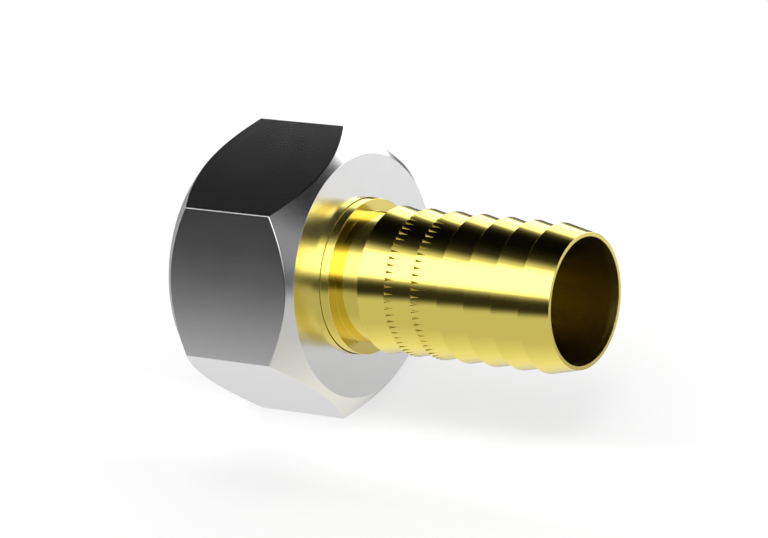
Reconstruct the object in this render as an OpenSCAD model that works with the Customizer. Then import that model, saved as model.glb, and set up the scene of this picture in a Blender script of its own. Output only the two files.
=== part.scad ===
// Hose coupling with a swivelling union nut.
// A turned brass hose tail is held in a hexagon union nut by its collar, and a flat gasket lies on
// the collar's sealing face. The origin is the centre of that sealing face. +X runs along the tail
// towards the hose, and the nut lies on one of its flats, with +Z up. All lengths are millimetres.

/* [Union nut] */
// Width of the hexagon across its flats
across_flats = 50; // [47:0.5:56]
// Length of the nut along the axis
nut_length = 30; // [27:0.5:40]
// Thickness of the nut's front wall, round the tail
nut_wall = 6.5; // [5:0.25:9]
// Diameter at which the front corner chamfer meets the front face
nut_front_circle_d = 47.6; // [44:0.1:47.6]
// Diameter at which the back corner chamfer meets the open face
nut_back_circle_d = 46.2; // [44.5:0.1:47.6]
// Angle of the corner chamfers, measured from the nut's faces
nut_chamfer_angle = 44; // [30:1:50]
// Bore of the pipe thread at its crests (1 1/4 inch parallel pipe thread)
thread_bore_d = 38.95; // [38.85:0.05:39.4]
// Depth of the countersink at the thread's mouth
thread_mouth_depth = 2; // [1:0.25:2]
// Diameter of the chamber behind the thread, for the collar and the gasket
chamber_d = 42.6; // [42:0.1:44]
// Edge break at both ends of the hole for the tail
nut_hole_break = 0.15; // [0.05:0.05:0.5]

/* [Hose tail] */
// Bore of the tail, the water's way
flow_bore_d = 24; // [18:0.5:24]
// How much the bore widens at its free end, on the radius
bore_mouth_flare = 0.25; // [0.1:0.05:0.3]
// Length over which the bore widens
bore_mouth_length = 1.5; // [0.5:0.25:3]
// Diameter of the collar that the nut pulls on
collar_d = 38; // [35:0.25:38.5]
// Thickness of the collar
collar_thickness = 5; // [3.5:0.25:7]
// Edge break round the collar
collar_break = 0.4; // [0.1:0.1:0.8]
// Diameter of the shoulder that the nut turns on
shoulder_d = 30.3; // [29.2:0.1:33]
// How far the shoulder stands out of the nut's front face
shoulder_protrusion = 2; // [1:0.25:4]
// Edge break round the shoulder's front
shoulder_break = 0.1; // [0.05:0.05:0.4]
// Diameter of the plain neck between the shoulder and the first barb
neck_d = 25.5; // [25.5:0.1:27]
// Length of the neck
neck_length = 6; // [3:0.5:12]

/* [Barbs] */
// Number of barbs
barb_count = 7; // [4:1:9]
// Distance from one barb to the next
barb_pitch = 6; // [4.5:0.25:8]
// Diameter at the barbs' sharp crests
barb_crest_d = 28.6; // [28:0.1:29]
// Diameter that each barb falls to, towards the free end
barb_root_d = 26; // [25.5:0.1:26.5]
// First barb with a ring of notches, counted from the nut
notched_first = 2; // [1:1:3]
// Last barb with a ring of notches
notched_last = 3; // [3:1:4]
// Number of notches round one barb
notch_count = 64; // [24:4:72]
// Depth of a notch at the crest
notch_depth = 0.4; // [0.2:0.05:0.5]
// Angle between the two sides of a notch
notch_angle = 80; // [50:5:90]
// Turn of the notch rings about the axis, from the top
notch_turn = 4; // [0:0.5:5]

/* [Gasket] */
// Outer diameter of the flat gasket
gasket_outer_d = 38; // [36:0.25:38.5]
// Inner diameter of the flat gasket
gasket_inner_d = 27; // [25:0.25:30]
// Thickness of the flat gasket
gasket_thickness = 3; // [1.5:0.25:4]

/* [Fits] */
// Running gap between the shoulder and the hole in the nut, on the radius
swivel_gap = 0.1; // [0.03:0.01:0.1]
// Room between the gasket and the end of the thread
gasket_room = 0.5; // [0.3:0.1:1]

/* [Hidden] */
$fn = 192;
hexagon = 6;
half = 0.5;
past = 1;

nut_front_x = collar_thickness + nut_wall;
nut_back_x = nut_front_x - nut_length;
chamber_start_x = -gasket_thickness - gasket_room;
thread_start_x = nut_back_x + thread_mouth_depth;
corner_r = half * across_flats / cos(180 / hexagon);
chamfer_slope = tan(nut_chamfer_angle);
front_circle_r = half * nut_front_circle_d;
back_circle_r = half * nut_back_circle_d;
front_corner_x = nut_front_x - (corner_r + past - front_circle_r) * chamfer_slope;
back_corner_x = nut_back_x + (corner_r + past - back_circle_r) * chamfer_slope;
thread_r = half * thread_bore_d;
mouth_r = thread_r + thread_mouth_depth;
chamber_r = half * chamber_d;
nut_hole_r = half * shoulder_d + swivel_gap;

flow_r = half * flow_bore_d;
collar_r = half * collar_d;
shoulder_r = half * shoulder_d;
shoulder_x = nut_front_x + shoulder_protrusion;
neck_r = half * neck_d;
first_crest_x = shoulder_x + neck_length;
free_end_x = first_crest_x + barb_count * barb_pitch;
crest_r = half * barb_crest_d;
root_r = half * barb_root_d;
notch_floor_r = crest_r - notch_depth;
notch_lead = barb_pitch / 4;
notch_top_r = crest_r + notch_depth;
notch_half_w = (notch_top_r - notch_floor_r) * tan(half * notch_angle);

// A profile of [radius, distance along the axis] points, turned about the X axis
module turned(profile) {
    rotate([0, 90, 0]) rotate_extrude() polygon(profile);
}

// Hexagon bar along X, with a flat at the top and at the bottom
module hexagon_bar() {
    translate([nut_back_x, 0, 0]) rotate([0, 90, 0]) rotate([0, 0, 180 / hexagon])
        cylinder(r = corner_r, h = nut_length, $fn = hexagon);
}

// Lathe-turned section of the nut: corner chamfers outside, the stepped bore inside
nut_profile = [
    [back_circle_r, nut_back_x],
    [corner_r + past, back_corner_x],
    [corner_r + past, front_corner_x],
    [front_circle_r, nut_front_x],
    [nut_hole_r + nut_hole_break, nut_front_x],
    [nut_hole_r, nut_front_x - nut_hole_break],
    [nut_hole_r, collar_thickness + nut_hole_break],
    [nut_hole_r + nut_hole_break, collar_thickness],
    [chamber_r, collar_thickness],
    [chamber_r, chamber_start_x],
    [thread_r, chamber_start_x],
    [thread_r, thread_start_x],
    [mouth_r, nut_back_x]
];

module union_nut() {
    color("silver") intersection() {
        hexagon_bar();
        turned(nut_profile);
    }
}

// Saw-tooth outline of the barbs: a square step up at the crest, then a ramp down
barb_points = [
    for (i = [0 : barb_count - 1])
        let (crest_x = first_crest_x + i * barb_pitch)
            each [[crest_r, crest_x], [root_r, crest_x + barb_pitch]]
];

tail_profile = concat(
    [
        [flow_r, 0],
        [collar_r - collar_break, 0],
        [collar_r, collar_break],
        [collar_r, collar_thickness - collar_break],
        [collar_r - collar_break, collar_thickness],
        [shoulder_r, collar_thickness],
        [shoulder_r, shoulder_x - shoulder_break],
        [shoulder_r - shoulder_break, shoulder_x],
        [neck_r, shoulder_x],
        [neck_r, first_crest_x]
    ],
    barb_points,
    [
        [flow_r + bore_mouth_flare, free_end_x],
        [flow_r, free_end_x - bore_mouth_length]
    ]
);

// One V-shaped notch: cut parallel to the axis, so it runs out on the falling ramp
module notch(crest_x) {
    translate([crest_x - notch_lead, 0, 0]) rotate([90, 0, 90])
        linear_extrude(height = barb_pitch)
            polygon([[0, notch_floor_r], [notch_half_w, notch_top_r], [-notch_half_w, notch_top_r]]);
}

// Ring of notches round the crest of one barb
module notch_ring(barb) {
    crest_x = first_crest_x + (barb - 1) * barb_pitch;
    for (k = [0 : notch_count - 1])
        rotate([notch_turn + k * 360 / notch_count, 0, 0]) notch(crest_x);
}

module hose_tail() {
    color("gold") difference() {
        turned(tail_profile);
        for (barb = [notched_first : notched_last]) notch_ring(barb);
    }
}

gasket_profile = [
    [half * gasket_inner_d, -gasket_thickness],
    [half * gasket_outer_d, -gasket_thickness],
    [half * gasket_outer_d, 0],
    [half * gasket_inner_d, 0]
];

module flat_gasket() {
    color("dimgray") turned(gasket_profile);
}

union_nut();
hose_tail();
flat_gasket();
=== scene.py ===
# %% [markdown]
# # A hose coupling: bright union nut, brass hose tail, rubber gasket
#
# The real object has three pieces. A hexagon union nut is turned from bar and bright plated. A hose
# tail is turned from brass: a collar inside the nut, a shoulder, a neck and seven saw-tooth barbs, two
# of them notched so that the hose can't creep round. A flat rubber ring seals the tail against the
# pipe. The CAD solids give the sizes. This script gives each piece the detail that makes it look real:
# softened edges, a helical pipe thread and the finish that the tools left. Lengths are written in
# millimetres and turned to Blender's metres by MM.

import bpy
import numpy as np
from mathutils import Matrix, Vector


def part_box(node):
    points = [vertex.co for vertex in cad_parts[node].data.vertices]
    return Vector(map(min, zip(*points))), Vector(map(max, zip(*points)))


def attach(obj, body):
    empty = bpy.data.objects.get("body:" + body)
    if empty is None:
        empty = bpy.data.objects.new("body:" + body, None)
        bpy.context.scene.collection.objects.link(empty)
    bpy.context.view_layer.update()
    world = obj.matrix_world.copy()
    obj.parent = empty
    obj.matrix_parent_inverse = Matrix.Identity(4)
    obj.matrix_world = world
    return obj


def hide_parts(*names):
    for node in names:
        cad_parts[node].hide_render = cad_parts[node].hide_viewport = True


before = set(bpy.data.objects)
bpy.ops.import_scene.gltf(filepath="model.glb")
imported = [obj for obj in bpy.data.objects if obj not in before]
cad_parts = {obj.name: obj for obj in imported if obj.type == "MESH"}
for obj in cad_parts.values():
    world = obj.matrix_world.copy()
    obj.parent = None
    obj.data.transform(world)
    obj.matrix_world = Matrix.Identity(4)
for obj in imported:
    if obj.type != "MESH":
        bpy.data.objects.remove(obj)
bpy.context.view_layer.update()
scene = bpy.context.scene
MM = 0.001

# %% [markdown]
# ## Two small helpers
#
# A finish is easiest to think of as the colour that a paint or metal card would show, so colours are
# written as sRGB hex values and turned to the linear light that Blender works in. Node trees are built
# with one function that adds a node, gives it its settings and plugs in its inputs, so that a tree
# reads from top to bottom like a recipe.


# %% Colour and node helpers
def linear(hex_value):
    """Each sRGB channel c becomes c / 12.92 if it is small, and ((c + 0.055) / 1.055) ^ 2.4 otherwise."""
    c = np.array([int(hex_value[i : i + 2], 16) for i in (1, 3, 5)]) / 255
    light = np.where(c <= 0.04045, c / 12.92, ((c + 0.055) / 1.055) ** 2.4)
    return (*light.tolist(), 1.0)


def add(tree, kind, inputs=None, **settings):
    """Adds one node. Settings are its own options; inputs are values, or outputs to link from."""
    node = tree.nodes.new("ShaderNode" + kind)
    for name, value in settings.items():
        setattr(node, name, value)
    for name, value in (inputs or {}).items():
        if isinstance(value, bpy.types.NodeSocket):
            tree.links.new(value, node.inputs[name])
        else:
            node.inputs[name].default_value = value
    return node


print("polished brass in linear light:", [round(v, 3) for v in linear("#F7E474")])

# %% [markdown]
# ## The camera
#
# A product picture like this one is taken with a long lens from a little less than a metre, which
# keeps the parallel edges of the nut nearly parallel. The camera stands to the right of the hose end
# and above it, and is rolled, so that the coupling seems to slope down to the right.

# %% Camera
LENS_MM = 200.524
SENSOR_MM = 36.0
DISTANCE = 0.823487
TARGET = np.array([16.816, 0.0, 2.287]) * MM
AZIMUTH, ELEVATION, ROLL = np.radians([41.615, 33.7767, -19.6983])

back = np.array(
    [
        np.sin(AZIMUTH) * np.cos(ELEVATION),
        -np.cos(AZIMUTH) * np.cos(ELEVATION),
        np.sin(ELEVATION),
    ]
)
right = np.cross([0.0, 0.0, 1.0], back)
right /= np.linalg.norm(right)
up = np.cross(back, right)
rolled = np.array(
    [
        np.cos(ROLL) * right + np.sin(ROLL) * up,
        np.cos(ROLL) * up - np.sin(ROLL) * right,
        back,
    ]
).T

camera = bpy.data.objects.new("camera", bpy.data.cameras.new("camera"))
camera.data.lens = LENS_MM
camera.data.sensor_width = SENSOR_MM
camera.data.clip_end = 20.0
camera.matrix_world = Matrix.Translation(Vector(TARGET + back * DISTANCE)) @ Matrix(rolled).to_4x4()
scene.collection.objects.link(camera)
scene.camera = camera
scene.view_settings.view_transform = "Standard"
print("camera at mm:", (np.array(camera.location) / MM).round(1))

# %% [markdown]
# ## The studio
#
# Bright metal has hardly any look of its own: it shows what stands round it. A photographer hangs long
# softboxes parallel to a turned part, with black card between them, so that the light runs along it in
# clean bands. Here the world is that studio. Its brightness depends on the angle round the coupling's
# axis, from 0 degrees behind it, through 90 overhead, to 180 on the camera's side and -90 below. Each
# place on a barb mirrors one angle, so the stripes along the tail tell where each softbox and card
# stands. A colour ramp over that angle holds the levels, as shares of one full level.


# %% Angle round the axis
FULL = 2.65  # the level that a ramp holds as 1


def fill_ramp(node, bands):
    """Level against angle: straight lines between the bands' edges, over one whole turn."""
    stops = node.color_ramp.elements
    for stop, (angle, level) in ((stops[0], bands[0]), (stops[1], bands[-1])):
        stop.position = (angle + 180) / 360
        stop.color = (level / FULL,) * 3 + (1.0,)
    for angle, level in bands[1:-1]:
        stops.new((angle + 180) / 360).color = (level / FULL,) * 3 + (1.0,)


world = bpy.data.worlds.new("studio")
scene.world = world
world.use_nodes = True
world.cycles.sampling_method = "NONE"
sky = world.node_tree
sky.nodes.clear()
towards = add(sky, "SeparateXYZ", {"Vector": add(sky, "TexCoord").outputs["Generated"]}).outputs
turn = add(sky, "Math", {0: towards["Z"], 1: towards["Y"]}, operation="ARCTAN2").outputs[0]
share = add(sky, "MapRange", {"Value": turn, "From Min": -np.pi, "From Max": np.pi}).outputs[0]
print("brightest level that a ramp can hold:", FULL)

# %% [markdown]
# ## The studio: wall, table and black cards
#
# The room is a pale wall on the camera's side, a white table below, and black card that keeps the rest
# dark. The wall stands a little askew, so its edge shifts towards the nut's end of the room. Wall,
# table and cards are one ramp, and the shift is worked out from the direction before the ramp reads it.

# %% Wall, table and cards
BACKDROP = (
    (-180, 0.61),  # pale wall on the camera's side
    (-148, 0.61),
    (-128, 0.76),  # the table, brightest straight below
    (-104, 0.91),
    (-86, 0.88),
    (-78, 0.79),
    (-70, 0.74),
    (-57, 0.58),
    (-47, 0.37),
    (-41, 0.41),
    (-31, 0.10),  # black card that stands on the table
    (-20, 0.06),
    (-14, 0.003),
    (66, 0.003),  # black card overhead
    (75, 0.010),
    (84, 0.035),
    (112, 0.05),
    (150, 0.035),
    (160, 0.028),
    (164, 0.072),
    (168, 0.32),
    (172, 0.59),
    (176, 0.61),
    (180, 0.61),
)
WALL_SKEW = 7.0  # degrees
SKEW_START = 0.155  # of the direction's X part times its Y part
corner = add(sky, "Math", {0: towards["X"], 1: towards["Y"]}, operation="MULTIPLY").outputs[0]
skew = add(
    sky,
    "Math",
    {0: corner, 1: WALL_SKEW / 360, 2: -SKEW_START * WALL_SKEW / 360},
    operation="MULTIPLY_ADD",
).outputs[0]
skew = add(sky, "Math", {0: skew, 1: 0.0}, operation="MAXIMUM").outputs[0]
skewed = add(sky, "Math", {0: share, 1: skew}, operation="ADD").outputs[0]
backdrop = add(sky, "ValToRGB", {"Fac": skewed})
fill_ramp(backdrop, BACKDROP)
print("backdrop bands:", len(BACKDROP))

# %% [markdown]
# ## The studio: the softbox behind
#
# A long softbox stands behind the coupling and makes the bright band along the top of the barbs. A
# black card hides its foot, and the card is taller at the nut's end, so the foot rises with the
# distance past the nut. The card is a second mask that multiplies the softbox's ramp.

# %% Softbox behind
BEHIND = (
    (-34, 0.0),
    (-33, 2.5),
    (-5, 2.4),
    (10, 2.1),
    (21, 2.0),
    (26.2, 0.50),
    (29, 0.20),
    (34, 0.035),
    (41, 0.006),
    (48, 0.0),
)
CARD_TOP = (-19, -14)  # degrees, dark below the first and clear above the second
CARD_RISE = 35  # degrees, for a whole unit along the axis
RISE_START = 0.2
past_nut = add(sky, "Math", {0: towards["X"], 1: -RISE_START}, operation="MINIMUM").outputs[0]
rise = add(
    sky,
    "Math",
    {0: past_nut, 1: CARD_RISE / 360, 2: RISE_START * CARD_RISE / 360},
    operation="MULTIPLY_ADD",
).outputs[0]
above_card = add(
    sky,
    "MapRange",
    {
        "Value": add(sky, "Math", {0: share, 1: rise}, operation="ADD").outputs[0],
        "From Min": (CARD_TOP[0] + 180) / 360,
        "From Max": (CARD_TOP[1] + 180) / 360,
    },
).outputs[0]
behind = add(sky, "ValToRGB", {"Fac": share})
fill_ramp(behind, BEHIND)
behind = add(sky, "Math", {0: behind.outputs[0], 1: above_card}, operation="MULTIPLY").outputs[0]
print("softbox behind, degrees:", BEHIND[0][0], "to", BEHIND[-1][0])

# %% [markdown]
# ## The studio: the overhead softbox
#
# The bright band along the middle of the barbs is the overhead softbox. It fans out a little towards
# the hose's end of the room, for which the angles are squeezed about its near edge before the ramp
# reads them. It stops short of that end, where a smooth step takes it down.

# %% Overhead softbox
OVERHEAD = (
    (84, 0.0),
    (89, 0.15),
    (93, 0.50),
    (97, 0.82),
    (101, 1.90),
    (105, 2.50),
    (109, 2.60),
    (133, 2.60),
    (137, 2.20),
    (141.5, 0.50),
    (146, 0.08),
    (151, 0.0),
)
OVERHEAD_NEAR_EDGE = 95
OVERHEAD_FAN = 0.11
EVEN_AT = -0.15  # where along the axis the softbox has its ramp's own width
OVERHEAD_END = (0.58, 0.80)
OVERHEAD_END_SHARE = 0.05
near_edge = (OVERHEAD_NEAR_EDGE + 180) / 360
from_edge = add(sky, "Math", {0: share, 1: near_edge}, operation="SUBTRACT").outputs[0]
fan = add(
    sky,
    "Math",
    {0: towards["X"], 1: -OVERHEAD_FAN, 2: 1 + EVEN_AT * OVERHEAD_FAN},
    operation="MULTIPLY_ADD",
).outputs[0]
fanned = add(sky, "Math", {0: from_edge, 1: fan, 2: near_edge}, operation="MULTIPLY_ADD").outputs[0]
overhead = add(sky, "ValToRGB", {"Fac": fanned})
fill_ramp(overhead, OVERHEAD)
overhead_length = add(
    sky,
    "MapRange",
    {
        "Value": towards["X"],
        "From Min": OVERHEAD_END[0],
        "From Max": OVERHEAD_END[1],
        "To Min": 1.0,
        "To Max": OVERHEAD_END_SHARE,
    },
    interpolation_type="SMOOTHSTEP",
).outputs[0]
overhead = add(sky, "Math", {0: overhead.outputs[0], 1: overhead_length}, operation="MULTIPLY").outputs[0]
print("overhead softbox, degrees:", OVERHEAD[0][0], "to", OVERHEAD[-1][0])

# %% [markdown]
# ## The studio: the table near the coupling, and the ends of the room
#
# The table is brightest near the tail and at its far edge, and the coupling colours it a little, so
# three more bands and a tint are added, each only along one stretch of the axis. The ends of the room
# are never quite black, which a little light on both sides stands for.

# %% Patches on the table and ends of the room
FAR_EDGE = ((-43, 0.0), (-40.5, 1.08), (-36.5, 0.70), (-31, 0.0))  # bright far edge of the table
NUT_END_FOOT = ((-24, 0.0), (-18, 0.20), (-14, 0.45), (-9, 0.50), (-5, 0.0))
NEAR_TAIL = ((-108, 0.0), (-86, 0.07), (-66, 0.12), (-56, 0.08), (-49, 0.0))
BRASS_TINT = ((-178, 0.0), (-140, 1.3), (-105, 1.9), (-86, 1.7), (-66, 0.9), (-52, 0.4), (-44, 0.0))
WHITE = (1.0, 1.0, 1.0, 1.0)
THROWN_BY_BRASS = (1.0, 0.97, 0.80, 1.0)
# At each end of the room: where along the axis its light starts and where it is full, and its level.
HOSE_END, HOSE_END_LEVEL = (0.2, 0.8), 0.02
NUT_END, NUT_END_LEVEL = (-0.4, -0.58), 0.012
room_end = add(
    sky,
    "MapRange",
    {
        "Value": towards["X"],
        "From Min": HOSE_END[0],
        "From Max": HOSE_END[1],
        "To Max": HOSE_END_LEVEL / FULL,
    },
).outputs[0]
bands = add(sky, "Math", {0: backdrop.outputs[0], 1: behind}, operation="ADD").outputs[0]
patches = []
for spread, (first, last) in (
    (FAR_EDGE, (-0.8, -0.3)),
    (NUT_END_FOOT, (-0.3, -0.45)),
    (NEAR_TAIL, (-0.45, -0.15)),
    (BRASS_TINT, (-0.45, -0.15)),
):
    patch = add(sky, "ValToRGB", {"Fac": share})
    fill_ramp(patch, spread)
    here = add(sky, "MapRange", {"Value": towards["X"], "From Min": first, "From Max": last}).outputs[0]
    patches.append(add(sky, "Math", {0: patch.outputs[0], 1: here}, operation="MULTIPLY").outputs[0])
brass_tint = patches.pop()
for patch in patches:
    bands = add(sky, "Math", {0: bands, 1: patch}, operation="ADD").outputs[0]
tint = add(sky, "Mix", {0: brass_tint, 6: WHITE, 7: THROWN_BY_BRASS}, data_type="RGBA").outputs[2]
on_glossy = add(sky, "LightPath").outputs["Is Glossy Ray"]
tint = add(sky, "Mix", {0: on_glossy, 6: WHITE, 7: tint}, data_type="RGBA").outputs[2]
bands = add(sky, "Math", {0: bands, 1: overhead}, operation="ADD").outputs[0]
bands = add(sky, "Math", {0: bands, 1: room_end}, operation="ADD").outputs[0]
room_nut_end = add(
    sky,
    "MapRange",
    {
        "Value": towards["X"],
        "From Min": NUT_END[0],
        "From Max": NUT_END[1],
        "To Max": NUT_END_LEVEL / FULL,
    },
).outputs[0]
bands = add(sky, "Math", {0: bands, 1: room_nut_end}, operation="ADD").outputs[0]
studio_level = add(sky, "Math", {0: bands, 1: FULL}, operation="MULTIPLY").outputs[0]
print("bands added on the table:", len(patches))

# %% [markdown]
# ## The studio: who sees what
#
# Only reflections see the studio's bands. A matte surface sees one wide soft light high behind the
# coupling. Light that reaches the table by way of the metal comes mostly from the overhead softbox.
# The camera sees plain white. Light Path tells the kinds of ray apart.

# %% Light for each kind of ray
LIGHT_TILT = np.radians(25)
LIGHT_AXIS = (0.0, np.sin(LIGHT_TILT), np.cos(LIGHT_TILT))
LIGHT_EDGE = np.cos(np.radians([65, 20])).tolist()
TENT_LEVELS = (0.1, 2.2)
THROWN_BY_METAL = (1.3, 0.7)  # share of the overhead softbox, and what is added to it
UPWARD = 0.3
along_light = add(
    sky,
    "VectorMath",
    {0: add(sky, "TexCoord").outputs["Generated"], 1: LIGHT_AXIS},
    operation="DOT_PRODUCT",
).outputs["Value"]
tent = add(
    sky,
    "MapRange",
    {
        "Value": along_light,
        "From Min": LIGHT_EDGE[0],
        "From Max": LIGHT_EDGE[1],
        "To Min": TENT_LEVELS[0],
        "To Max": TENT_LEVELS[1],
    },
    interpolation_type="SMOOTHSTEP",
).outputs[0]
upward = add(sky, "MapRange", {"Value": towards["Z"], "From Min": 0.0, "From Max": UPWARD}).outputs[0]
thrown = add(
    sky,
    "Math",
    {0: overhead, 1: THROWN_BY_METAL[0] * FULL, 2: THROWN_BY_METAL[1]},
    operation="MULTIPLY_ADD",
)
thrown = add(sky, "Math", {0: thrown.outputs[0], 1: upward}, operation="MULTIPLY").outputs[0]
rays = add(sky, "LightPath").outputs
# From the first matte bounce on, what a mirrored ray sees only lights the table.
later = add(sky, "Math", {0: rays["Diffuse Depth"], 1: 0.5}, operation="GREATER_THAN").outputs[0]
on_metal = add(sky, "Mix", {0: later, 2: studio_level, 3: thrown}, data_type="FLOAT").outputs[0]
level = add(sky, "Mix", {0: rays["Is Glossy Ray"], 2: tent, 3: on_metal}, data_type="FLOAT").outputs[0]
level = add(sky, "Mix", {0: rays["Is Camera Ray"], 2: level, 3: 1.0}, data_type="FLOAT").outputs[0]
light = add(sky, "Background", {"Color": tint, "Strength": level})
add(sky, "OutputWorld", {"Surface": light.outputs[0]})
print("studio nodes:", len(sky.nodes))

# %% [markdown]
# ## The table
#
# The table is white, and the coupling's shadow on it is soft and faint, as under a light tent. The
# matte table takes only about a quarter of its brightness from the light that falls on it, and glows by
# itself for the rest. So the ground is plain white and the shadow stays thin. A stripe of painted light
# lies on the table in front of the nut's lower flats and the barbs, where they would throw light, and
# parts the shadow in two: the table glows a little more along that stripe, at a fixed place. Reflections
# look through the table into the studio, whose lower bands stand for it, and from below it is clear, so
# that the underside can be seen.

# %% White table
TABLE_HALF = 4.0  # metres
TABLE_WHITE = 0.255
TABLE_LIFT = 0.733
# Each edge of the stripe of painted light: the axis that it is measured on, where it starts and where it is
# full.
PAINTED_LIGHT_EDGES = (("Y", -8.0, -20.0), ("Y", -36.0, -21.0), ("X", -140.0, -80.0), ("X", 160.0, 90.0))
PAINTED_LIGHT_LEVEL = 0.21
floor_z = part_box("union_nut")[0].z
corners = np.array([[-1, -1, 0], [1, -1, 0], [1, 1, 0], [-1, 1, 0]]) * TABLE_HALF + [0, 0, floor_z]
floor_mesh = bpy.data.meshes.new("table")
floor_mesh.from_pydata(corners.tolist(), [], [(0, 1, 2, 3)])
floor = bpy.data.objects.new("table", floor_mesh)
scene.collection.objects.link(floor)

table_white = bpy.data.materials.new("white_table")
table_white.use_nodes = True
tree = table_white.node_tree
tree.nodes.clear()
matte = add(tree, "BsdfDiffuse", {"Color": (TABLE_WHITE,) * 3 + (1.0,)})
on_table = add(tree, "SeparateXYZ", {"Vector": add(tree, "TexCoord").outputs["Object"]}).outputs
# Painted light: a stripe of extra glow at a fixed place on the table, in front of the nut and the barbs.
painted_light_stripe = 1.0
for axis, first, last in PAINTED_LIGHT_EDGES:
    side = add(
        tree,
        "MapRange",
        {"Value": on_table[axis], "From Min": first * MM, "From Max": last * MM},
        interpolation_type="SMOOTHSTEP",
    ).outputs[0]
    painted_light_stripe = add(tree, "Math", {0: side, 1: painted_light_stripe}, operation="MULTIPLY").outputs[0]
lift_and_painted_light_level = add(tree, "Math", {0: painted_light_stripe, 1: PAINTED_LIGHT_LEVEL, 2: TABLE_LIFT}, operation="MULTIPLY_ADD").outputs[0]
lift_and_painted_light = add(tree, "Emission", {"Color": WHITE, "Strength": lift_and_painted_light_level})
seen = add(tree, "AddShader", {0: matte.outputs[0], 1: lift_and_painted_light.outputs[0]})
rays = add(tree, "LightPath").outputs
lit = add(tree, "MixShader", {0: rays["Is Camera Ray"], 1: matte.outputs[0], 2: seen.outputs[0]})
below = add(tree, "NewGeometry").outputs["Backfacing"]
clear_for = add(tree, "Math", {0: rays["Is Glossy Ray"], 1: below}, operation="MAXIMUM").outputs[0]
clear = add(tree, "BsdfTransparent")
surface = add(tree, "MixShader", {0: clear_for, 1: lit.outputs[0], 2: clear.outputs[0]})
add(tree, "OutputMaterial", {"Surface": surface.outputs[0]})
floor_mesh.materials.append(table_white)
print("table top at mm:", round(floor_z / MM, 3))

# %% [markdown]
# ## Turned pieces as grids
#
# All three pieces are rings: go once round the axis, or once round the section, and you are back where
# you started. So each is a closed grid of columns (angles round the axis) and rows (points along the
# section). A section is first written as the sharp corners on the drawing. Then every corner gets the
# small round that a tool or a polishing wheel leaves, because it is this round that catches the light
# as a thin bright line. Everything is worked out as whole numpy arrays.


# %% Section helpers
def piece_normals(corners):
    """The direction out of the metal on each straight piece of a section: the piece's own direction
    turned a quarter turn, the other way round if the section runs clockwise. Its three parts are
    along the axis, away from the axis and round the axis."""
    after = np.roll(corners, -1, axis=0)
    step = after - corners
    area = (corners[..., 0] * after[..., 1] - corners[..., 1] * after[..., 0]).sum(0)
    out = np.stack([step[..., 1], -step[..., 0], 0 * step[..., 0]], -1) * np.sign(area)[:, None]
    return out / np.linalg.norm(out, axis=-1, keepdims=True)


def turn_between(first, last, t):
    """Goes from one direction to the other in equal turns: both are weighted by the sine of the angle
    still to go and the angle gone, over the sine of the whole angle."""
    size = np.linalg.norm(first, axis=-1, keepdims=True) * np.linalg.norm(last, axis=-1, keepdims=True)
    whole = np.arccos(np.clip((first * last).sum(-1, keepdims=True) / size, -1, 1))
    return (np.sin((1 - t) * whole) * first + np.sin(t * whole) * last) / np.sin(whole)


def rounded(corners, normals, radii, count=4):
    """Rounds a closed section. The arc at a corner starts at radius / tan(half the corner's angle) from
    it and has its centre on the bisector, at radius / sin(half the angle). A radius of 0 keeps the
    corner sharp. Gives the points, and the normals that the surface has before and after each."""
    points, before_point, after_point = [], [], []
    for k, radius in enumerate(radii):
        here, n_in, n_out = corners[k], normals[k - 1], normals[k]
        if radius == 0:
            points.append(here[None])
            before_point.append(n_in[None])
            after_point.append(n_out[None])
            continue
        back_along = corners[k - 1] - here
        ahead = corners[(k + 1) % len(corners)] - here
        back_along = back_along / np.linalg.norm(back_along, axis=-1, keepdims=True)
        ahead = ahead / np.linalg.norm(ahead, axis=-1, keepdims=True)
        half = np.arccos(np.clip((back_along * ahead).sum(-1, keepdims=True), -1, 1)) / 2
        bisector = (back_along + ahead) / np.linalg.norm(back_along + ahead, axis=-1, keepdims=True)
        centre = here + bisector * radius / np.sin(half)
        reach = radius / np.tan(half)
        first, last = here + back_along * reach, here + ahead * reach
        t = np.linspace(0, 1, count + 1)[:, None, None]
        points.append(centre + turn_between(first - centre, last - centre, t))
        before_point.append(turn_between(n_in, n_out, t))
        after_point.append(before_point[-1])
    return np.concatenate(points), np.concatenate(before_point), np.concatenate(after_point)


square = np.array([[0.0, 0.0], [2.0, 0.0], [2.0, 2.0], [0.0, 2.0]])[:, None]
print("points in a square with round corners:", len(rounded(square, piece_normals(square), (0.5,) * 4)[0]))

# %% [markdown]
# ## The surface of a ring
#
# A smooth mesh normally gets its normals by averaging its faces. On a mirror-bright part that shows:
# where a wide face meets the narrow faces of a rounded edge, the average is off by a degree or two and
# the softbox bands waver. Every surface here has a formula, so its exact normals are known, and the
# mesh is given those as custom normals.


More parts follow.
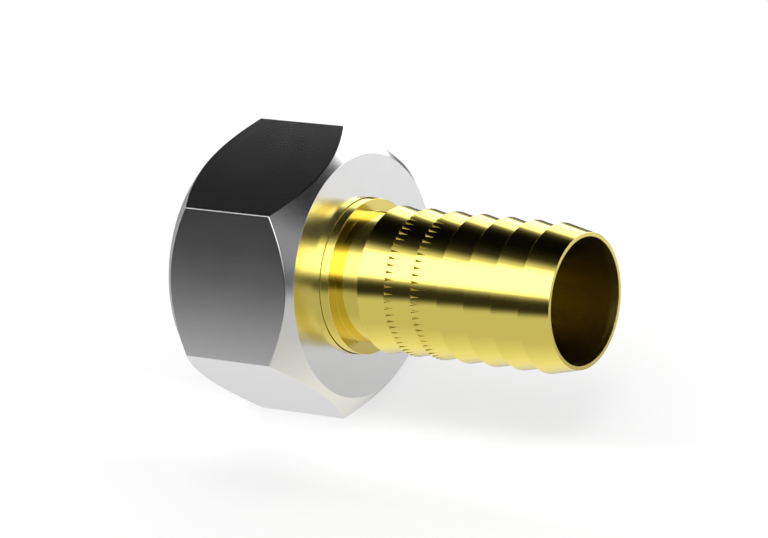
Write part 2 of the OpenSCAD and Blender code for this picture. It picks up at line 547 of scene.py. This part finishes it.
# %% Ring surface
def ring_surface(name, x, r, angle, n_before, n_after, faceted=None):
    """Closed grid mesh: the point of row i and column j is (x, r cos(angle), r sin(angle)), with the
    angle measured from +Y towards +Z. Rows and columns both wrap round. A face takes the normals that
    its first row has after it and its second row has before it, or its own where it is faceted."""
    x, r, angle = np.broadcast_arrays(x, r, angle)
    rows, columns = x.shape
    points = np.stack([x, r * np.cos(angle), r * np.sin(angle)], -1).reshape(-1, 3) * MM
    c, s = np.cos(angle), np.sin(angle)
    n_before, n_after = (
        np.stack(
            [n[..., 0] + 0 * c, n[..., 1] * c - n[..., 2] * s, n[..., 1] * s + n[..., 2] * c], -1
        ).reshape(-1, 3)
        for n in (n_before, n_after)
    )
    i, j = np.meshgrid(np.arange(rows), np.arange(columns), indexing="ij")
    i2, j2 = (i + 1) % rows, (j + 1) % columns
    quads = [i * columns + j, i * columns + j2, i2 * columns + j2, i2 * columns + j]
    quads = np.stack(quads, -1).reshape(-1, 4)
    normals = [n_after[quads[:, 0]], n_after[quads[:, 1]], n_before[quads[:, 2]], n_before[quads[:, 3]]]
    normals = np.stack(normals, 1)
    a, b, c, d = (points[quads[:, k]] for k in range(4))
    volume = (np.einsum("ij,ij->i", a, np.cross(b, c)) + np.einsum("ij,ij->i", a, np.cross(c, d))).sum() / 6
    if volume < 0:
        quads, normals = quads[:, ::-1], normals[:, ::-1]
    a, b, c, d = (points[quads[:, k]] for k in range(4))
    own = np.cross(c - a, d - b)
    own /= np.linalg.norm(own, axis=1, keepdims=True)
    faceted = np.zeros(len(quads), bool) if faceted is None else faceted.ravel()
    normals = np.where(faceted[:, None, None], own[:, None], normals)
    normals = normals / np.linalg.norm(normals, axis=-1, keepdims=True)
    mesh = bpy.data.meshes.new(name)
    mesh.vertices.add(len(points))
    mesh.vertices.foreach_set("co", points.ravel())
    mesh.loops.add(quads.size)
    mesh.loops.foreach_set("vertex_index", quads.ravel().astype(np.int32))
    mesh.polygons.add(len(quads))
    mesh.polygons.foreach_set("loop_start", np.arange(0, quads.size, 4, dtype=np.int32))
    mesh.polygons.foreach_set("use_smooth", np.ones(len(quads), bool))
    mesh.attributes.new("faceted", "FLOAT", "FACE").data.foreach_set("value", faceted.astype(np.float32))
    mesh.update(calc_edges=True)
    mesh.normals_split_custom_set(normals.reshape(-1, 3).tolist())
    piece = bpy.data.objects.new(name, mesh)
    scene.collection.objects.link(piece)
    agree = (normals * own[:, None]).sum(-1)
    print(name, "triangles:", 2 * len(quads), "volume cm3:", round(abs(volume) * 1e6, 2))
    print("  least agreement of a normal with its face:", agree.min().round(2))
    return piece


# %% [markdown]
# ## The union nut: its hexagon
#
# The nut starts as hexagon bar, 50 mm across its flats. On the lathe both ends get a conical chamfer,
# and each cone cuts the flats in a curved line. That curve could be found with a Boolean cut, but a
# formula is cleaner: at each angle the bar's surface lies at one radius, and the cone reaches that
# radius at one place along the axis. Bright plated nuts are polished first, which leaves the flats very
# slightly crowned and the six corners round.

# %% Hexagon radius round the axis
ACROSS_FLATS = 50.0
FLAT_HALF = ACROSS_FLATS / 2
CORNER = FLAT_HALF / np.cos(np.pi / 6)
POLISH_CROWN = 0.25  # mm; only the normals follow it
CORNER_ROUND = 0.15
COLUMNS_PER_FLAT = 30

arc_centre = CORNER - CORNER_ROUND * 2 / np.sqrt(3)
round_angle = np.arctan(CORNER_ROUND / 2 / (arc_centre + CORNER_ROUND * np.sqrt(3) / 2))
near = round_angle * np.array([-1, -2 / 3, -1 / 3, 0, 1 / 3, 2 / 3])
along = np.linspace(round_angle, np.pi / 3 - round_angle, COLUMNS_PER_FLAT + 1)[:-1]
nut_angle = (np.arange(6)[:, None] * np.pi / 3 + np.concatenate([near, along])).ravel()

off = (nut_angle + np.pi / 6) % (np.pi / 3) - np.pi / 6
middle = nut_angle % (np.pi / 3) - np.pi / 6
at_corner = np.abs(off) <= round_angle * 1.0001  # a hair more, for the columns on the very edge


def hexagon_radius():
    """Distance of the bar's surface from the axis. On a flat it is half the width across flats over
    the cosine of the angle from the flat's middle. At a corner it is where the ray meets the small
    circle that touches both flats."""
    inside = np.maximum(CORNER_ROUND**2 - (arc_centre * np.sin(off)) ** 2, 0)
    return np.where(at_corner, arc_centre * np.cos(off) + np.sqrt(inside), FLAT_HALF / np.cos(middle))


def hexagon_lean(radius):
    """Angle from the ray to the surface's normal. On a flat it is the angle back to the flat's middle,
    less the crown's slope: twice the crown times the place across the flat, over half its width
    squared. On a corner the normal points away from the small circle's centre, turned back by the
    share of the 30 degrees that the crown has turned it already."""
    across = FLAT_HALF * np.tan(middle)
    crown_slope = np.arctan(2 * POLISH_CROWN * across / (CORNER / 2) ** 2)
    round_turn = np.arctan2(radius * np.sin(off), radius * np.cos(off) - arc_centre)
    turned_by_flats = np.arctan(2 * POLISH_CROWN / (CORNER / 2)) / (np.pi / 6)
    return np.where(at_corner, round_turn * (1 - turned_by_flats) - off, crown_slope - middle)


bar_r = hexagon_radius()
bar_lean = hexagon_lean(bar_r)
print("nut columns:", len(nut_angle), "radius mm:", bar_r.min().round(3), "to", bar_r.max().round(3))

# %% [markdown]
# ## The union nut: its pipe thread
#
# A 1 1/4 inch pipe thread has 11 turns to the inch and a 55 degree profile whose crests and roots are
# round. A thread is a height drawn on a cylinder: the height depends only on how far along one pitch a
# point lies, and that place shifts by one pitch for each turn round the axis. So the thread needs no
# sweep and no Boolean, only a formula for the radius at each angle and distance. At the mouth it is cut
# away by the countersink, which is the larger of the two radii.

# %% Thread radius
PITCH = 25.4 / 11
CREST_R = 38.952 / 2
ROOT_R = 41.91 / 2
NUT_BACK, NUT_FRONT, MOUTH_DEPTH = -18.5, 11.5, 2.0
THREAD_END = -3.5
THREAD_ROUND = 0.1373  # radius of the round crests and roots, as a share of the pitch
FLANK_ANGLE = 27.5
ROWS_PER_PITCH = 20


def thread_radius(x, angle):
    """Internal right-hand thread. From the crest's middle the profile is a round, then a flank that
    leans by the flank angle from square to the axis, then the same round into the root."""
    tip = THREAD_ROUND * PITCH
    lean = np.radians(FLANK_ANGLE)
    place = np.abs(((x / PITCH - angle / (2 * np.pi)) + 0.5) % 1 - 0.5) * PITCH
    reach = tip * np.cos(lean)
    from_root = PITCH / 2 - place
    crest_rise = tip - np.sqrt(np.maximum(tip**2 - place**2, 0))
    root_drop = tip - np.sqrt(np.maximum(tip**2 - from_root**2, 0))
    flank = tip * (1 - np.sin(lean)) + (place - reach) / np.tan(lean)
    into_root = np.where(from_root < reach, ROOT_R - CREST_R - root_drop, flank)
    return CREST_R + np.where(place < reach, crest_rise, into_root)


thread_rows = int((THREAD_END - NUT_BACK) / PITCH * ROWS_PER_PITCH) + 1
thread_x = np.linspace(THREAD_END, NUT_BACK, thread_rows)[:, None]
countersink = CREST_R + MOUTH_DEPTH - (thread_x - NUT_BACK)
threaded_r = np.maximum(thread_radius(thread_x, nut_angle[None]), countersink)
print("thread rows:", len(thread_x), "depth mm:", (threaded_r.max() - threaded_r.min()).round(3))

# %% [markdown]
# A normal is square to both ways along the surface. Along the axis the slope is the change of the
# radius from row to row. Round the axis a thread climbs by one pitch a turn, so its slope there is the
# slope along the axis times the pitch, over the length of one turn. The countersink has none.

# %% Thread normals
HAIR = 0.001  # mm, a margin for comparing lengths
thread_rise = np.gradient(threaded_r, thread_x[:, 0], axis=0)
helix_rise = -thread_rise * PITCH / (2 * np.pi) / threaded_r
round_rise = np.where(threaded_r > countersink + HAIR, helix_rise, 0)
thread_normal = np.stack([thread_rise, -np.ones_like(thread_rise), round_rise], -1)
thread_normal /= np.linalg.norm(thread_normal, axis=-1, keepdims=True)
thread_before, thread_after = thread_normal.copy(), thread_normal.copy()
thread_before[0] = (1, 0, 0)
thread_after[-1] = (-1, 0, 0)
print("steepest thread slope along the axis:", np.abs(thread_rise).max().round(2))

# %% [markdown]
# ## The union nut: once round its section
#
# The rest of the section is straight: open face, back chamfer, flat, front chamfer, front face, hole,
# front wall and gasket chamber. The chamfers' outer corners move along the axis with the bar's radius,
# which draws the curved lines on the flats. Each corner has its own round: the outer ones were
# polished, and the ones inside are as the tool left them.

# %% Nut surface
CHAMFER = np.tan(np.radians(44))
BACK_CIRCLE_R, FRONT_CIRCLE_R = 23.1, 23.8
NUT_HOLE_R, CHAMBER_R = 15.25, 21.3
WALL_BACK = 5.0

one = np.ones_like(bar_r)
nut_corners = np.array(
    [
        [NUT_BACK * one, threaded_r[-1]],
        [NUT_BACK * one, BACK_CIRCLE_R * one],
        [NUT_BACK + (bar_r - BACK_CIRCLE_R) * CHAMFER, bar_r],
        [NUT_FRONT - (bar_r - FRONT_CIRCLE_R) * CHAMFER, bar_r],
        [NUT_FRONT * one, FRONT_CIRCLE_R * one],
        [NUT_FRONT * one, NUT_HOLE_R * one],
        [WALL_BACK * one, NUT_HOLE_R * one],
        [WALL_BACK * one, CHAMBER_R * one],
        [THREAD_END * one, CHAMBER_R * one],
        [THREAD_END * one, threaded_r[0]],
    ]
).transpose(0, 2, 1)
nut_normals = piece_normals(nut_corners)
nut_normals[2] = np.stack([0 * one, np.cos(bar_lean), np.sin(bar_lean)], -1)
edge_rounds = (0, 0.12, 0.2, 0.37, 0.1, 0.1, 0.15, 0.3, 0.1, 0)  # in the order of the corners
points, before, after = rounded(nut_corners, nut_normals, edge_rounds)
points, before, after = points[1:-1], before[1:-1], after[1:-1]
union_nut = ring_surface(
    "union_nut_dressed",
    np.concatenate([points[..., 0], np.broadcast_to(thread_x, threaded_r.shape)]),
    np.concatenate([points[..., 1], threaded_r]),
    nut_angle[None],
    np.concatenate([before, thread_before]),
    np.concatenate([after, thread_after]),
)

# %% [markdown]
# ## The hose tail
#
# The tail is turned from one brass bar and bored through. Its barbs are saw teeth: a square step that
# faces the nut, so that the hose can't slip back over it, and a long ramp down towards the free end.
# The bore flares a little at the free end, where the drill's edge was broken. The whole tail is one
# section turned round the axis, so it is written as one list of corners.

# %% Tail section
BORE_R, COLLAR_R, COLLAR_END = 12.0, 19.0, 5.0
SHOULDER_R, SHOULDER_X, NECK_R = 15.15, 13.5, 12.75
FIRST_CREST_X, BARB_PITCH, BARBS = 19.5, 6.0, 7
BARB_CREST_R, BARB_ROOT_R = 14.3, 13.0
MOUTH_R, MOUTH_LENGTH = 12.25, 1.5
FREE_END = FIRST_CREST_X + BARBS * BARB_PITCH
CREST_BREAK = 0.03

# Each corner is its place along the axis, its distance from the axis and its round.
front_part = [
    (0.0, BORE_R, 0.15),
    (0.0, COLLAR_R, 0.4),
    (COLLAR_END, COLLAR_R, 0.4),
    (COLLAR_END, SHOULDER_R, 0.1),
    (SHOULDER_X, SHOULDER_R, 0.1),
    (SHOULDER_X, NECK_R, 0.05),
]
barbs = [
    point
    for k in range(BARBS)
    for point in (
        (FIRST_CREST_X + k * BARB_PITCH, BARB_ROOT_R if k else NECK_R, 0.0),
        (FIRST_CREST_X + k * BARB_PITCH, BARB_CREST_R, CREST_BREAK),
    )
]
end_part = [(FREE_END, BARB_ROOT_R, 0.1), (FREE_END, MOUTH_R, 0.05), (FREE_END - MOUTH_LENGTH, BORE_R, 0.0)]
tail_points = np.array(front_part + barbs + end_part)
tail_corners = tail_points[:, None, :2]
section, section_before, section_after = (
    part[:, 0] for part in rounded(tail_corners, piece_normals(tail_corners), tail_points[:, 2])
)
print("tail section points:", len(section), "free end at mm:", FREE_END)

# %% [markdown]
# ## The hose tail: its notches
#
# Two barbs have a ring of 64 small notches, pressed into the crest parallel to the axis, with steep
# sides and a blunt floor. As the ramp falls away from the crest, a notch gets narrower and shallower
# until it runs out in a point. The grid's columns follow the notches' edges, so these stay crisp
# without a very fine mesh. The polishing wheel doesn't reach into the notches, so their faces keep flat
# normals and are marked with an attribute, by which the brass is duller there and gets a darker colour
# that is painted shade in the notches.

# %% Extra rows where the notches run out
NOTCHED = (2, 3)  # barbs, counted from the nut
NOTCHES = 64
NOTCH_DEPTH = 0.4
NOTCH_LENGTH = 1.846  # from the crest to where the ramp has fallen to the notch's floor
NOTCH_LEAN = np.tan(np.radians(40))
NOTCH_TURN = np.radians(90 + 4)
NOTCH_ROWS = np.array([0.25, 0.5, 0.75, 0.9, 1.0, 1.15, 1.6])  # as shares of the notch's length
RAMP = (BARB_CREST_R - BARB_ROOT_R) / BARB_PITCH

for barb in NOTCHED:
    crest_x = FIRST_CREST_X + (barb - 1) * BARB_PITCH
    at = np.nonzero((section[:, 0] < crest_x + 0.2) & (section[:, 1] > BARB_CREST_R - 0.1))[0].max() + 1
    down = NOTCH_ROWS * NOTCH_LENGTH
    added = np.stack([crest_x + down, BARB_CREST_R - RAMP * down], -1)
    section = np.insert(section, at, added, axis=0)
    section_before = np.insert(section_before, at, section_before[[at] * len(down)], axis=0)
    section_after = np.insert(section_after, at, section_before[[at] * len(down)], axis=0)
print("rows with notches:", len(section))

# %% [markdown]
# Each notch has five columns across it and three on the land beside it. Its floor stays level at the
# full depth below the crest, until the falling ramp meets it at the notch's end. Where the floor is
# above the surface there is nothing to cut, and beyond the end the columns spread out again.

# %% Tail surface with its notches
NARROWEST = 0.08  # least half width of a notch's columns, as a share of that at the crest
SPREAD = 1.2  # how fast the columns spread out again beyond a notch
row_x, row_r = section[:, :1], section[:, 1:]
crest_half = NOTCH_DEPTH * NOTCH_LEAN / BARB_CREST_R
beyond = np.full_like(row_x, -1.0)
for barb in NOTCHED:
    d = row_x - (FIRST_CREST_X + (barb - 1) * BARB_PITCH)
    beyond = np.where((d > -HAIR) & (d < BARB_PITCH - HAIR) & (row_r > NECK_R), d, beyond)
floor_r = BARB_CREST_R - NOTCH_DEPTH - (RAMP - NOTCH_DEPTH / NOTCH_LENGTH) * beyond
cut = (beyond >= -HAIR) & (beyond < NOTCH_LENGTH + HAIR) & (row_r > floor_r - HAIR)
narrow = np.clip((row_r - floor_r) * NOTCH_LEAN / row_r, NARROWEST * crest_half, None)
widening = crest_half * np.clip((beyond / NOTCH_LENGTH - 1) * SPREAD, NARROWEST, 1)
notch_half = np.where(cut, narrow, np.where(beyond > NOTCH_LENGTH, widening, crest_half))

pitch_angle = 2 * np.pi / NOTCHES
across = np.array([[-1, -0.5, 0, 0.5, 1]])
land = np.array([[0.25, 0.5, 0.75]])
within = np.concatenate([across * notch_half, notch_half + land * (pitch_angle - 2 * notch_half)], 1)
depth_share = np.array([[1, 0.25, 0, 0.25, 1, 1, 1, 1]])  # 0 on the floor and 1 at the surface
dented_r = np.where(cut, floor_r + (row_r - floor_r) * depth_share, row_r)
turns = NOTCH_TURN + np.arange(NOTCHES) * pitch_angle
tail_angle = (turns[None, :, None] + within[:, None, :]).reshape(len(section), -1)
in_notch = np.tile(np.array([1, 1, 1, 1, 0, 0, 0, 0], bool), NOTCHES)
faceted = (cut & np.roll(cut, -1, axis=0)) & in_notch[None]
hose_tail = ring_surface(
    "hose_tail_dressed",
    row_x,
    np.tile(dented_r, (1, NOTCHES)),
    tail_angle,
    section_before[:, None],
    section_after[:, None],
    faceted,
)

# %% [markdown]
# ## The flat gasket
#
# The gasket is punched from 3 mm sheet rubber, and punching leaves the edges a little round. So its
# section is a rectangle with rounded corners.

# %% Gasket surface
GASKET_OUT, GASKET_IN, GASKET_BACK, GASKET_FRONT = 19.0, 13.5, -3.0, 0.0
PUNCHED_ROUND = 0.25
GASKET_COLUMNS = 192
gasket_corners = np.array(
    [
        [GASKET_BACK, GASKET_IN],
        [GASKET_BACK, GASKET_OUT],
        [GASKET_FRONT, GASKET_OUT],
        [GASKET_FRONT, GASKET_IN],
    ]
)[:, None]
points, before, after = rounded(gasket_corners, piece_normals(gasket_corners), (PUNCHED_ROUND,) * 4)
gasket_angle = np.linspace(0, 2 * np.pi, GASKET_COLUMNS, endpoint=False)[None]
flat_gasket = ring_surface(
    "flat_gasket_dressed", points[..., 0], points[..., 1], gasket_angle, before, after
)


# %% [markdown]
# ## Finish of the nut: bright plating on turned steel
#
# The nut is nickel-chrome bright plating over a fine-turned and polished surface. Plating is thin and
# copies what lies under it: rings from the lathe on the faces and cones, and hardly anything on the
# flats, which were drawn bar and are smoother. The metal is neutral, and its slight roughness blurs a
# mirror image more, the further away the mirrored thing is, which is why the brass tail shows in the
# nut's face as soft bands. The turned surfaces are found by their normal: it leans along the axis.


# %% Helpers for a finish
def new_finish(name):
    """A material with an empty node tree."""
    material = bpy.data.materials.new(name)
    material.use_nodes = True
    material.node_tree.nodes.clear()
    return material, material.node_tree


def axis_radius(tree, place):
    """Distance from the coupling's axis: the length of the (y, z) part of the object position."""
    flat = add(tree, "VectorMath", {0: place, 1: (0.0, 1.0, 1.0)}, operation="MULTIPLY").outputs[0]
    return add(tree, "VectorMath", {0: flat}, operation="LENGTH").outputs["Value"]


# %% Bright plating
PLATING_COLOUR = "#E9E9E9"
POLISHED_ROUGHNESS = 0.125
TURNED_ROUGHNESS = 0.22
TURNED_FACING = (0.2, 0.6)  # how squarely a surface faces along the axis, from the flats to the cones
TURNED_RING_MM = 0.35  # really 0.1 mm; drawn coarser, or it would not show
RING_DEPTH_MM = 0.0003
POLISH_PATCH_MM = 6
POLISH_PATCH_RANGE = (0.3, 0.7)  # the part of the noise that the patches use
PLATING_PATCHES = 0.01  # how much the roughness differs between patches, up or down
plating, tree = new_finish("bright_plating_on_turned_steel")
place = add(tree, "TexCoord").outputs["Object"]
radius = axis_radius(tree, place)
axial = add(tree, "SeparateXYZ", {"Vector": place}).outputs["X"]
tool_path = add(tree, "Math", {0: radius, 1: axial}, operation="SUBTRACT").outputs[0]
rings = add(
    tree,
    "TexNoise",
    {"W": tool_path, "Scale": 1 / (TURNED_RING_MM * MM), "Detail": 2.0},
    noise_dimensions="1D",
)
facing = add(tree, "SeparateXYZ", {"Vector": add(tree, "TexCoord").outputs["Normal"]}).outputs["X"]
turned = add(
    tree,
    "MapRange",
    {
        "Value": add(tree, "Math", {0: facing}, operation="ABSOLUTE").outputs[0],
        "From Min": TURNED_FACING[0],
        "From Max": TURNED_FACING[1],
    },
).outputs[0]
cloud = add(tree, "TexNoise", {"Vector": place, "Scale": 1 / (POLISH_PATCH_MM * MM), "Detail": 3.0})
patchy = add(
    tree,
    "MapRange",
    {
        "Value": cloud.outputs[0],
        "From Min": POLISH_PATCH_RANGE[0],
        "From Max": POLISH_PATCH_RANGE[1],
        "To Min": -PLATING_PATCHES,
        "To Max": PLATING_PATCHES,
    },
).outputs[0]
roughness = add(
    tree, "MapRange", {"Value": turned, "To Min": POLISHED_ROUGHNESS, "To Max": TURNED_ROUGHNESS}
).outputs[0]
roughness = add(tree, "Math", {0: roughness, 1: patchy}, operation="ADD")
marks = add(tree, "Bump", {"Height": rings.outputs[0], "Strength": 1.0, "Distance": RING_DEPTH_MM * MM})
metal = add(
    tree,
    "BsdfPrincipled",
    {
        "Base Color": linear(PLATING_COLOUR),
        "Metallic": 1.0,
        "Roughness": roughness.outputs[0],
        "Normal": marks.outputs[0],
    },
)
add(tree, "OutputMaterial", {"Surface": metal.outputs[0]})
print("plating:", plating.name)

# %% [markdown]
# ## Finish of the tail: polished turned brass
#
# Free-cutting brass turns to a bright, greenish yellow. The rings of the finishing cut run round it,
# far finer than a hair, and polishing has nearly closed them, so the softbox bands stay crisp along the
# barbs. The drilled bore is not polished, so it is duller and darker. It is found by its distance from
# the axis, which is less than anywhere outside.

# %% Polished brass with a drilled bore
BRASS_COLOUR = "#F7E474"
BORE_COLOUR = "#CDBE66"
BORE_ROUGHNESS = 0.2
POLISHED_RANGE = (0.07, 0.09)
BRASS_RING_MM = 0.3  # really about 0.05 mm; drawn coarser, or it would not show
BRASS_RING_DEPTH_MM = 0.0002
BRASS_PATCH_MM = 5
BORE_EDGE = (MOUTH_R + 0.01, MOUTH_R + 0.05)
brass, tree = new_finish("polished_turned_brass")
place = add(tree, "TexCoord").outputs["Object"]
radius = axis_radius(tree, place)
axial = add(tree, "SeparateXYZ", {"Vector": place}).outputs["X"]
rings = add(
    tree, "TexNoise", {"W": axial, "Scale": 1 / (BRASS_RING_MM * MM), "Detail": 2.0}, noise_dimensions="1D"
)
cloud = add(tree, "TexNoise", {"Vector": place, "Scale": 1 / (BRASS_PATCH_MM * MM), "Detail": 3.0})
in_bore = add(
    tree,
    "MapRange",
    {
        "Value": radius,
        "From Min": BORE_EDGE[0] * MM,
        "From Max": BORE_EDGE[1] * MM,
        "To Min": 1.0,
        "To Max": 0.0,
    },
).outputs[0]
colour = add(
    tree, "Mix", {0: in_bore, 6: linear(BRASS_COLOUR), 7: linear(BORE_COLOUR)}, data_type="RGBA"
).outputs[2]
polished = add(
    tree,
    "MapRange",
    {
        "Value": cloud.outputs[0],
        "From Min": POLISH_PATCH_RANGE[0],
        "From Max": POLISH_PATCH_RANGE[1],
        "To Min": POLISHED_RANGE[0],
        "To Max": POLISHED_RANGE[1],
    },
).outputs[0]
roughness = add(tree, "Mix", {0: in_bore, 2: polished, 3: BORE_ROUGHNESS}, data_type="FLOAT").outputs[0]
print("polished roughness:", POLISHED_RANGE, "in the bore:", BORE_ROUGHNESS)

# %% [markdown]
# The faces square to the axis that look towards the hose end, and the notches, are out of the polishing
# wheel's reach, so they too are duller. Both are also given a darker colour, which is painted shade. The
# faces are found by their normal, and the notches by the attribute that the mesh carries. Each is mixed
# over what the tree has so far.

# %% Duller faces and notches, darker by painted shade
# Painted shade: faces that look towards the hose end get a darker brass colour.
FACE_PAINTED_SHADE_COLOUR = "#DAC872"
FACE_DULLER = 0.08
FACE_FACING = (0.8, 0.95)
# Painted shade: the notches' faces get a darker brass colour.
NOTCH_PAINTED_SHADE_COLOUR = "#B4A046"
NOTCH_ROUGHNESS = 0.36
facing = add(tree, "SeparateXYZ", {"Vector": add(tree, "TexCoord").outputs["Normal"]}).outputs["X"]
on_face = add(
    tree, "MapRange", {"Value": facing, "From Min": FACE_FACING[0], "From Max": FACE_FACING[1]}
).outputs[0]
colour = add(tree, "Mix", {0: on_face, 6: colour, 7: linear(FACE_PAINTED_SHADE_COLOUR)}, data_type="RGBA").outputs[2]
roughness = add(
    tree, "Math", {0: on_face, 1: FACE_DULLER, 2: roughness}, operation="MULTIPLY_ADD"
).outputs[0]
in_notch = add(tree, "Attribute", attribute_name="faceted").outputs["Fac"]
colour = add(tree, "Mix", {0: in_notch, 6: colour, 7: linear(NOTCH_PAINTED_SHADE_COLOUR)}, data_type="RGBA").outputs[2]
roughness = add(tree, "Mix", {0: in_notch, 2: roughness, 3: NOTCH_ROUGHNESS}, data_type="FLOAT").outputs[0]
marks = add(
    tree, "Bump", {"Height": rings.outputs[0], "Strength": 1.0, "Distance": BRASS_RING_DEPTH_MM * MM}
)
metal = add(
    tree,
    "BsdfPrincipled",
    {"Base Color": colour, "Metallic": 1.0, "Roughness": roughness, "Normal": marks.outputs[0]},
)
add(tree, "OutputMaterial", {"Surface": metal.outputs[0]})
print("brass:", brass.name)

# %% [markdown]
# ## Finish of the gasket: black sheet rubber
#
# Sheet rubber for water is matte black with a fine grain from the cloth that it is cured between. A
# paler bloom lies on it in faint patches, so two near blacks are mixed, and the grain is bump.

# %% Sheet rubber
RUBBER_COLOUR = "#1C1C1D"
BLOOM_COLOUR = "#29292B"
RUBBER_ROUGHNESS = 0.75
RUBBER_IOR = 1.52
GRAIN_MM, GRAIN_DEPTH_MM = 0.25, 0.02
BLOOM_PATCH_MM = 4
rubber, tree = new_finish("matte_black_sheet_rubber")
place = add(tree, "TexCoord").outputs["Object"]
grain = add(tree, "TexNoise", {"Vector": place, "Scale": 1 / (GRAIN_MM * MM), "Detail": 4.0})
bloom = add(tree, "TexNoise", {"Vector": place, "Scale": 1 / (BLOOM_PATCH_MM * MM), "Detail": 3.0})
colour = add(
    tree,
    "Mix",
    {0: bloom.outputs[0], 6: linear(RUBBER_COLOUR), 7: linear(BLOOM_COLOUR)},
    data_type="RGBA",
).outputs[2]
pores = add(tree, "Bump", {"Height": grain.outputs[0], "Strength": 1.0, "Distance": GRAIN_DEPTH_MM * MM})
body = add(
    tree,
    "BsdfPrincipled",
    {
        "Base Color": colour,
        "Roughness": RUBBER_ROUGHNESS,
        "IOR": RUBBER_IOR,
        "Normal": pores.outputs[0],
    },
)
add(tree, "OutputMaterial", {"Surface": body.outputs[0]})
print("rubber:", rubber.name)

# %% [markdown]
# ## Each piece joins its body
#
# A dressed piece rides on the body of the solid that it stands for and takes one of the finishes made
# above, and the solid itself is hidden.

# %% Ride, replace, finish
DRESSED = (
    (union_nut, "union_nut", "nut", "bright_plating", plating),
    (hose_tail, "hose_tail", "tail", "brass", brass),
    (flat_gasket, "flat_gasket", "gasket", "gasket_rubber", rubber),
)
for piece, node, body_name, slot, material in DRESSED:
    piece.data.materials.append(material)
    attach(piece, body_name)
    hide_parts(node)
    print(piece.name, "rides on", body_name)
